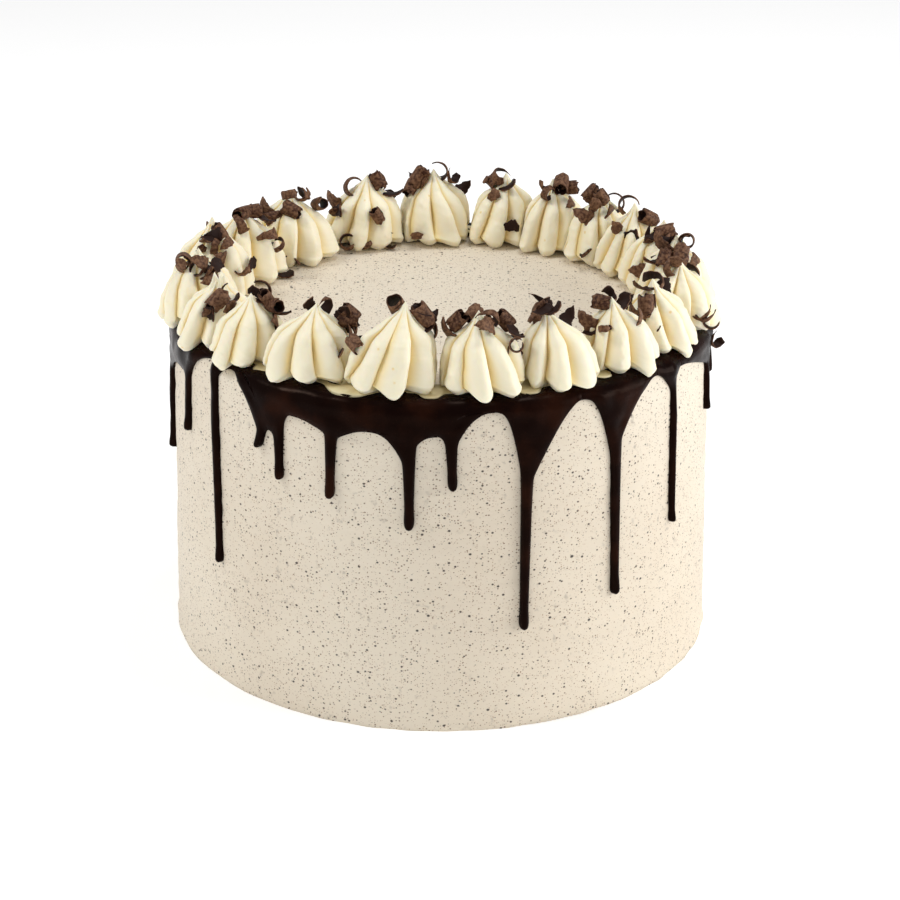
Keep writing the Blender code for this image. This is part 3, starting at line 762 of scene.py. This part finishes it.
# Places of points given by reach and side from the dollop's middle: pressed softly against the borders with
# the neighbours, along / (1 + |along / limit|^clamp)^(1 / clamp), and between the floor and the tip by level.
def placedOnRing(number, radius, side, level, past=0.0, lift=0.0):
    angle, distance, _, height, leanAlong, leanOut = dollops[number]
    turn = np.radians(side)
    rise = 1 - level
    lean = rise ** dollop["leanPower"]
    along = radius * np.sin(turn) + leanAlong * lean
    out = distance + radius * np.cos(turn) + leanOut * lean
    before, after = dollopWedge(number)
    limit = out * np.tan(np.radians(np.where(along < 0, before, after))) - dollop["gap"] / 2
    along = along / (1 + np.abs(along / limit) ** dollop["clamp"]) ** (1 / dollop["clamp"])
    ring = np.hypot(along, out)
    bottom = floorHeight(ring, past) + lift
    top = cakeTop + height
    return polar(angle + np.degrees(np.arctan2(along, out)), ring, bottom + (top - bottom) * rise)


# Depth of the plain creases, shallower near the tip.
def creaseDepth(level):
    return dollop["depth"] * (0.6 + 0.4 * smoothStep(level, 0, 0.3))


# The plain swirl, which curls lie on: radius = swirl x profile x (1 - depth (1 - lobe) + reach x lobe), with
# lobe = |cos|^power over the petals, so that crests are round and creases sharp.
def dollopPoints(number, level, side):
    size = dollop
    twist, crests = dollopSwirl(number)
    depth = creaseDepth(level)
    place = crests[1] + (side - twist * (1 - level) - crests[1]) % 360
    petal = np.interp(place, crests, np.arange(-1, size["petals"] + 2))
    lobe = np.abs(np.cos(np.pi * petal)) ** size["power"]
    longer = lobe * spread(number + np.rint(petal) % size["petals"], 15, *size["reaches"])
    radius = dollops[number][2] * dollopProfile(level) * (1 - depth * (1 - lobe) + longer)
    return placedOnRing(number, radius, side, level)


# The fine swirl: columns from crease to crease, deeper creases, crests that fold over to one side, toes of
# their own length at the foot, and a face that is a little uneven. The torn one has a ragged crown.
def makeDollop(number):
    size = dollop
    petals, steps = size["petals"], size["petalColumns"]
    share = np.linspace(0, 1, size["rows"] + 1)[1:]
    level = (0.5 - 0.5 * np.cos(np.pi * share) + share)[:, None] / 2
    across = np.linspace(-0.5, 0.5, steps, endpoint=False)
    across = across - 0.035 * np.sin(4 * np.pi * across)
    petal = (np.arange(petals)[:, None] + across).reshape(1, -1)
    own = np.rint(petal + 1e-6)
    twist, crests = dollopSwirl(number)
    lobe = np.abs(np.cos(np.pi * petal)) ** np.where(petal > own, size["fallPower"], size["risePower"])
    fold = size["foldLean"] * (0.7 + 0.6 * spread(own + number, 19)) * lobe * smoothStep(level, 0.04, 0.45)
    side = np.interp(petal, np.arange(-1, petals + 2), crests) + twist * (1 - level) + fold
    depth = creaseDepth(level) + size["fineDepth"] * smoothStep(level, 0.2, 0.6)
    # every crease has its own depth, and some fade towards the foot
    border = np.floor(petal + 1e-6) % petals + 3 * number
    depth = depth * spread(border, 22, *size["creaseShares"])
    depth = depth * (1 - spread(border, 23, *size["creaseFades"]) * smoothStep(level, 0.55, 1))
    own = own % petals
    longer = lobe * spread(number + own, 15, *size["reaches"])
    swirl = dollops[number][2]
    radius = swirl * dollopProfile(level) * (1 - depth * (1 - lobe) + longer)
    toe = smoothStep(level, size["toeFrom"], 1)
    radius = radius + toe * lobe**3 * size["toeReach"] * spread(2 * number + own, 20, *size["toeReaches"])
    radius = radius * (1 - size["toeRound"] * smoothStep(level, 0.86, 1.06) ** 2)
    lift = size["toeLift"] * (1 - lobe**1.5) + size["toeLifts"] * spread(own + number, 21)
    lift = toe * lift - size["sink"]
    points = placedOnRing(number, radius, side, level, size["over"], lift)
    angle, distance = dollops[number][:2]
    out = polar(angle + side, 1.0, 0.3 + 0 * level)
    uneven = sum(height * softNoise(points, length, seed + number) for height, length, seed in dollopRelief)
    uneven = uneven * smoothStep(level, 0.02, 0.2) * (1 - smoothStep(level, 0.9, 1))
    points = points + out * uneven[..., None]
    tip = dollopPoints(number, np.zeros(1), np.zeros(1))[0]
    if number == size["torn"]:
        crown = 1 - smoothStep(level, 0.0, size["crown"])
        jagged = 0.6 * np.sin(np.radians(5 * side + 40)) + 0.4 * np.sin(np.radians(11 * side))
        ragged = size["tornHeight"] * crown * (jagged - 0.4)
        points = points + polar(angle + side, size["tornReach"] * crown, ragged)
        tip = tip - np.array([0, 0, size["tornTip"]])
    # the underside: a ring half way in, then a pole
    inner = placedOnRing(number, radius[-1:] * 0.6, side[-1:], level[-1:], size["over"], -size["sink"])
    points = np.concatenate([points, inner])
    foot = polar(angle, distance, floorHeight(distance) - size["sink"])
    quads, triangles = cappedGrid(*points.shape[:2])
    points = np.concatenate([points.reshape(-1, 3), [tip, foot]])
    # mask of the painted shade in the creases
    creaseShade = (1 - lobe) * smoothStep(level, 0.02, 0.15)
    marks = {"creaseShade": np.concatenate([creaseShade.ravel(), np.zeros(len(points) - creaseShade.size)])}
    name = f"dollop_{number + 1:02d}"
    piece = makePiece("piped_" + name, points, quads, materials["cream"], triangles, marks)
    closeUp(piece)
    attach(piece, "root")
    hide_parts(name)


for number in range(len(dollops)):
    makeDollop(number)
print("dollops made")


# Cream film

film = {"inner": 0.086, "outer": 0.0950, "lift": 0.00012, "thickness": 0.00022, "columns": 720, "rows": 9}

# Where the film shows: its angle, its half width in degrees and how far its edge reaches out there.
filmPatches = (
    (-19.2, 5.5, 0.0068),
    (-2, 2.4, 0.0047),
    (19, 2.6, 0.0049),
    (37.5, 1.9, 0.0036),
    (-42, 2.2, 0.0042),
)


# A thin edge of cream that shows between the feet of some dollops: a ring on the chocolate whose outer edge is
# outer + reach exp(-(turn / width)^4) of each patch.
def makeFilm():
    size = film
    angle = (np.arange(size["columns"]) * 360 / size["columns"])[None, :]
    edge = size["outer"] + 0 * angle
    for middle, width, reach in filmPatches:
        turn = (angle - middle + 180) % 360 - 180
        edge = edge + reach * np.exp(-((turn / width) ** 4))
    share = np.linspace(0, 1, size["rows"])[:, None]
    radius = size["inner"] + (edge - size["inner"]) * share
    low = floorHeight(radius, dollop["over"]) - dollop["gap"] + size["lift"]
    tops = polar(angle, radius, low + size["thickness"] * (1 - share**4) ** 0.5)
    bottoms = polar(angle, radius, low)[::-1][1:]
    points = np.concatenate([tops, bottoms])
    rows, columns = points.shape[:2]
    quads = gridFaces(rows, columns, closeRows=True, closeColumns=True)
    piece = makePiece("creamFilm", points, quads, materials["film"])
    closeUp(piece)
    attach(piece, "root")


makeFilm()
print("film made")


# Chocolate curls

curl = {
    "rest": 0.0010,
    "levelStep": 0.02,
    "solidThickness": 0.0009,
    "sizes": (0.8, 1.15),
    "tilts": (-15, 45),
    "cones": (-0.08, 0.08),
    "section": 12,
    "endWidth": 0.12,
    "endThickness": 0.35,
    "rimAngle": 80.0,
    "rimDepth": 0.0065,
}

# Each kind: the arc in degrees, its radius, how much that grows to the end, the strip's width, the share of the
# width left at the end, the stations that place it, then its thickness, the shares of the arc where the fine
# strip starts and ends, how fast its ends narrow and its rows.
curlKinds = {
    "tube": (290, 0.0023, 0.25, 0.0074, 0.9, 5, 0.00075, -0.62, 1.08, 0.05, 48),
    "hook": (200, 0.0032, 0.20, 0.0044, 0.2, 4, 0.00080, -0.08, 1.18, 0.12, 26),
    "ring": (300, 0.0026, 0.10, 0.0032, 0.7, 5, 0.00080, -0.08, 1.06, 0.10, 32),
    "flake": (60, 0.0060, 0.00, 0.0058, 0.5, 2, 0.00105, -0.16, 1.30, 0.16, 20),
}

# The curls of each dollop: kind, side in degrees round the dollop from its outward side, level from the tip
# (0) to the foot (1), and millimetres that it is lifted off the cream.
dollopCurls = [
    "tube 200 .14 1, hook 60 .12 1, tube 110 .30 3, flake 20 .16 1, flake 90 .42 2, hook 75 .56 2",
    "flake 215 .16 1, hook 185 .06 3, flake 150 .14 2, flake 110 .30 1",
    "tube 215 .16 1, ring 290 .40 1, flake 255 .48 1, flake 60 .14 1, "
    "flake 100 .26 1, flake 95 .42 1, hook 140 .20 3",
    "flake 230 .16 1, flake 75 .26 1, hook 110 .14 1",
    "hook 320 .74 0, hook 330 .86 1, ring 220 .16 0, hook 100 .10 1, flake 40 .26 1",
    "tube 0 .14 1, hook 220 .16 0, tube 280 .26 0, flake 200 .34 0, hook 170 .10 2",
    "tube 260 .18 0, hook 190 .26 0, flake 210 .68 0",
    "tube 290 .24 1, flake 190 .34 0, hook 120 .10 2, flake 240 .44 1",
    "tube 220 .10 1, hook 310 .24 1, flake 210 .78 0, flake 180 .34 1, tube 100 .16 2",
    "hook 130 .12 0, tube 280 .12 1, tube 310 .24 2, flake 260 .34 0, ring 190 .22 1",
    "tube 100 .20 0, hook 120 .08 1, flake 210 .68 0, flake 160 .34 1",
    "hook 260 .08 1, hook 270 .22 2, tube 100 .20 2, tube 95 .34 1, flake 150 .84 0, flake 290 .40 1",
    "tube 240 .14 1, tube 180 .50 0, flake 250 .36 2, flake 100 .54 0, ring 130 .93 1, "
    "ring 160 .88 0, hook 200 .94 1, hook 80 .24 1, flake 280 .50 2",
    "ring 140 .08 1, tube 140 .26 0, tube 230 .32 2, flake 50 .32 0, "
    "flake 130 .95 0, hook 210 .16 2, flake 90 .40 2",
    "tube 120 .12 1, hook 170 .38 0, ring 190 .54 0, flake 190 .93 0, hook 110 .24 1, tube 230 .16 1",
    "tube 140 .18 0, ring 110 .34 0, hook 70 .34 0, flake 120 .46 0, flake 180 .62 0, hook 140 .60 1",
    "tube 350 .24 0, ring 80 .26 0, flake 110 .40 0, flake 130 .28 0, flake 30 .30 2",
    "tube 75 .36 1, flake 60 .50 1",
    "flake 200 .10 1, hook 160 .12 3, tube 130 .28 2, flake 110 .42 1, flake 285 .36 1",
    "flake 230 .20 1, hook 170 .14 1, tube 135 .34 1, flake 120 .44 1, hook 110 .56 2, flake 75 .66 2",
    "tube 225 .14 1, flake 120 .26 1, flake 112 .40 1, flake 125 .34 3",
]

# The small curls between those, by dollop number, in the same words.
smallCurls = {
    0: "flake 10 .20 2, flake 70 .34 2, ring 55 .42 1, flake 250 .34 1, tube 250 .24 2",
    1: "flake 220 .24 1, flake 290 .06 1, flake 20 .05 2",
    2: "flake 240 .38 1, flake 205 .18 2, flake 20 .32 1",
    3: "flake 200 .54 1, hook 280 .60 2, tube 270 .42 3",
    4: "hook 310 .74 2, flake 240 .06 1",
    5: "flake 180 .18 2, tube 240 .34 2, flake 300 .36 2, flake 210 .36 1",
    6: "flake 260 .32 2, tube 280 .48 3, flake 225 .24 1",
    8: "flake 200 .24 2, flake 250 .30 1",
    10: "flake 210 .20 1, hook 90 .24 1",
    11: "flake 60 .26 2, flake 120 .14 2",
    12: "flake 70 .44 1, flake 110 .50 2, flake 250 .20 2",
    13: "flake 50 .38 1, tube 90 .44 2, flake 220 .16 2",
    14: "flake 210 .28 2, flake 80 .50 1, flake 60 .38 2",
    15: "flake 110 .24 2, flake 130 .34 3, flake 90 .30 3",
    16: "flake 100 .36 2, flake 90 .22 2, flake 140 .28 1",
    17: "flake 80 .38 2, flake 60 .48 1, hook 100 .34 2",
    18: "tube 150 .20 2, flake 140 .34 1, flake 175 .18 1",
    19: "flake 130 .28 2, tube 140 .32 3, flake 130 .42 1, flake 130 .58 1",
    20: "flake 100 .34 2, tube 105 .30 4, flake 105 .20 2, tube 290 .52 1",
}


# A strip bent to a spiral: reach = radius (1 + growth share), half width narrowing as share^1.5. Rows of
# (reach + off) (cos, sin) of the arc with the width across it, about the curl's own middle.
def curlPoints(kind, number, share, wide, off):
    arc, radius, growth, width, left = curlKinds[kind][:5]
    size = spread(number, 11, *curl["sizes"])
    turn = np.radians(arc * share)
    reach = size * radius * (1 + growth * share)
    half = size * width / 2 * (1 - (1 - left) * np.clip(share, 0, 1) ** 1.5)
    sides = ((reach + off) * np.cos(turn), half * wide + 0 * reach, (reach + off) * np.sin(turn))
    return np.stack(sides, axis=-1)


# Corners of the few plain stations that a curl is placed by.
def curlStations(kind, number):
    share = np.linspace(0, 1, curlKinds[kind][5])[:, None]
    off = curl["solidThickness"] / 2 * np.array([[1, 1, -1, -1]])
    return curlPoints(kind, number, share, np.array([[1, -1, -1, 1]]), off)


# The fine strip: a rounded section with uneven edges, pointed or torn ends and a slight cone.
def fineCurl(kind, number):
    thickness, start, end, narrowing, rows = curlKinds[kind][6:]
    share = np.linspace(start, end, rows)[:, None]
    around = np.linspace(0, 2 * np.pi, curl["section"], endpoint=False)[None, :]
    wide = np.sign(np.cos(around)) * np.abs(np.cos(around)) ** 0.45
    off = thickness / 2 * np.sign(np.sin(around)) * np.abs(np.sin(around)) ** 0.7
    ends = smoothStep(share, start, start + narrowing) * (1 - smoothStep(share, end - 2.2 * narrowing, end))
    torn = 0.10 * np.sin(13 * share + 5 * number) + 0.06 * np.sin(29 * share + 3 * number)
    narrow, thin = (curl[name] + (1 - curl[name]) * ends for name in ("endWidth", "endThickness"))
    edge = (1 + torn * np.sign(wide)) * narrow
    cone = spread(number, 16, *curl["cones"]) * wide
    points = curlPoints(kind, number, share, wide * edge, off * thin)
    points[..., [0, 2]] *= (1 + cone)[..., None]
    inner = (off < 0) * np.ones_like(share)
    return points, inner


# Rolled, tilted and turned by its number about a normal of the face that it lies on.
def turnedCurl(points, number, normal):
    across = np.cross([0, 0, 1], normal)
    across /= np.linalg.norm(across)
    upward = np.cross(normal, across)
    turn, roll = np.radians([spread(number, 12, 0, 360), spread(number, 14, 0, 360)])
    tilt = np.radians(spread(number, 13, *curl["tilts"]))
    axis = np.cos(tilt) * (np.cos(turn) * across + np.sin(turn) * upward) + np.sin(tilt) * normal
    side = np.cross(axis, upward * np.cos(turn) - across * np.sin(turn))
    side /= np.linalg.norm(side)
    other = np.cross(side, axis)
    first = np.cos(roll) * side + np.sin(roll) * other
    second = np.cos(roll) * other - np.sin(roll) * side
    return points @ np.array([first, axis, second])


# Shift that keeps a curl clear of the neighbouring dollops and of what its dollop stands on.
def clearShift(points, dollopNumber):
    angle = dollops[dollopNumber][0]
    alongWay, outWay = polar(angle + 90, 1.0, 0.0), polar(angle, 1.0, 0.0)
    before, after = np.tan(np.radians(dollopWedge(dollopNumber)))
    along, out = points @ alongWay, points @ outWay
    over = np.max(along - out * after) + dollop["gap"]
    under = np.max(-along - out * before) + dollop["gap"]
    low = np.max(floorHeight(np.hypot(along, out)) + dollop["gap"] - points[..., 2])
    return (max(under, 0) - max(over, 0)) * alongWay + np.array([0, 0, max(low, 0)])


# A curl's place: the spot and the normal of the cream where it lies.
def curlSpot(dollopNumber, side, level):
    angle, _, swirl, height = dollops[dollopNumber][:4]
    spot = dollopPoints(dollopNumber, np.array([level]), np.array([side]))[0]
    step = curl["levelStep"]
    slope = swirl * (dollopProfile(level + step) - dollopProfile(level)) / step
    normal = polar(angle + side, height, slope)
    return spot, normal / np.linalg.norm(normal)


# One curl at its place on a dollop: its points, the share that is inner face, and its number.
def placedCurl(dollopNumber, entry, number):
    kind, side, level, lift = entry.split()
    spot, normal = curlSpot(dollopNumber, float(side), float(level))
    stations = curlStations(kind, number)
    middle = stations.mean(axis=(0, 1))
    foot = spot + (curl["rest"] + millimetre * float(lift)) * normal
    shift = clearShift(foot + turnedCurl(stations - middle, number, normal), dollopNumber)
    points, inner = fineCurl(kind, number)
    return kind, (foot + shift + turnedCurl(points - middle, number, normal), inner, number)


# Places every curl and joins those of a kind in one piece.
def makeCurls():
    made = {kind: [] for kind in curlKinds}
    listed = [(place, entry) for place, entries in enumerate(dollopCurls) for entry in entries.split(", ")]
    number = len(listed)
    extra = [(place, entry) for place, entries in smallCurls.items() for entry in entries.split(", ")]
    for step, (place, entry) in enumerate(listed + extra):
        kind, placed = placedCurl(place, entry, step + (step >= number))
        made[kind].append(placed)
    # the one curl that lies on the chocolate of the rim
    lift = drip["skinGap"] + drip["thickness"] + curl["rest"]
    normal = polar(curl["rimAngle"], 0.86, 0.5)
    spot = rimPoint(travelOf(curl["rimDepth"]), curl["rimAngle"], lift)
    stations = curlStations("hook", number)
    middle = stations.mean(axis=(0, 1))
    placed = spot + turnedCurl(stations - middle, number, normal)
    low = placed[placed[..., 2] < cakeTop + drip["skinGap"]]
    inside = np.max(cake["rimRadius"] + drip["skinGap"] - np.hypot(low[:, 0], low[:, 1]))
    points, inner = fineCurl("hook", number)
    outward = polar(curl["rimAngle"], max(inside, 0), 0)
    made["hook"].append((spot + outward + turnedCurl(points - middle, number, normal), inner, number))
    for kind, curls in made.items():
        joinCurls(kind, curls)


# All curls of one kind as one piece: grids closed round their section, with a pole at each end.
def joinCurls(kind, curls):
    rows, columns = curls[0][0].shape[:2]
    quads, triangles = cappedGrid(rows, columns)
    size = rows * columns + 2
    allPoints, allInner, allDraw, allQuads, allTriangles = [], [], [], [], []
    for step, (points, inner, number) in enumerate(curls):
        poles = np.stack([points[0].mean(axis=0), points[-1].mean(axis=0)])
        allPoints.append(np.concatenate([points.reshape(-1, 3), poles]))
        allInner.append(np.concatenate([inner.ravel(), [0, 0]]))
        allDraw.append(np.full(size, spread(number, 17)))
        allQuads.append(quads + step * size)
        allTriangles.append(triangles + step * size)
    marks = {"inner": np.concatenate(allInner), "draw": np.concatenate(allDraw)}
    points, quads, triangles = (np.concatenate(part) for part in (allPoints, allQuads, allTriangles))
    piece = makePiece("curls_" + kind, points, quads, materials["curl"], triangles, marks)
    closeUp(piece)
    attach(piece, "root")


makeCurls()
print("curls made")


# Floor, light and camera

studio = {
    "floor": colour(252, 252, 252),
    "floorReach": 3.0,
    "world": 0.45,
    "glow": 0.27,
    "aim": (0, 0, 0.08),
    "cameraPlace": (0.0035, -0.91866, 0.46215),
    "elevation": 23.27,
    "roll": 0.33,
    "lens": 101.0,
    "sensor": 36,
}

# Each light: its name, place, side and power.
studioLights = (
    ("right", (1.35, -0.20, 0.50), 0.8, 12),
    ("left", (-0.90, -0.17, 1.20), 0.3, 6.5),
    ("low", (-1.30, -0.60, 0.50), 1.0, 1.5),
    ("top", (0.25, 0.20, 1.40), 0.3, 4),
)


# A square floor that glows a little, an even white world, and square lights that face the middle of the cake.
def makeStudio():
    size = studio
    shader = Shader("paleFloor", Base_Color=size["floor"], Roughness=0.9, Specular_IOR_Level=0.1)
    shader.surface.inputs["Emission Color"].default_value = size["floor"]
    shader.surface.inputs["Emission Strength"].default_value = size["glow"]
    corners = size["floorReach"] * np.array([[-1, -1, 0], [1, -1, 0], [1, 1, 0], [-1, 1, 0]])
    floor = makePiece("floor", corners, np.array([[0, 1, 2, 3]]), shader.material)
    world = bpy.data.worlds.new("studio")
    world.use_nodes = True
    background = world.node_tree.nodes["Background"]
    background.inputs["Color"].default_value = (1, 1, 1, 1)
    background.inputs["Strength"].default_value = size["world"]
    bpy.context.scene.world = world
    for name, place, side, power in studioLights:
        light = bpy.data.lights.new(name, "AREA")
        light.size = side
        light.energy = power
        lamp = bpy.data.objects.new(name, light)
        lamp.location = place
        lamp.rotation_euler = (Vector(size["aim"]) - Vector(place)).to_track_quat("-Z", "Y").to_euler()
        bpy.context.scene.collection.objects.link(lamp)


# A camera that looks towards +Y and down by the elevation, then rolls about its own line of sight.
def makeCamera():
    size = studio
    elevation, roll = np.radians([size["elevation"], size["roll"]])
    forward = np.array([0, np.cos(elevation), -np.sin(elevation)])
    right = np.array([1.0, 0, 0])
    up = np.cross(right, forward)
    across = np.cos(roll) * right + np.sin(roll) * up
    upward = np.cos(roll) * up - np.sin(roll) * right
    camera = bpy.data.objects.new("camera", bpy.data.cameras.new("camera"))
    camera.data.lens = size["lens"]
    camera.data.sensor_width = size["sensor"]
    turned = Matrix((across, upward, -forward)).transposed().to_4x4()
    camera.matrix_world = Matrix.Translation(size["cameraPlace"]) @ turned
    bpy.context.scene.collection.objects.link(camera)
    bpy.context.scene.camera = camera
    bpy.context.scene.view_settings.view_transform = "Standard"


makeStudio()
makeCamera()
print("studio made")
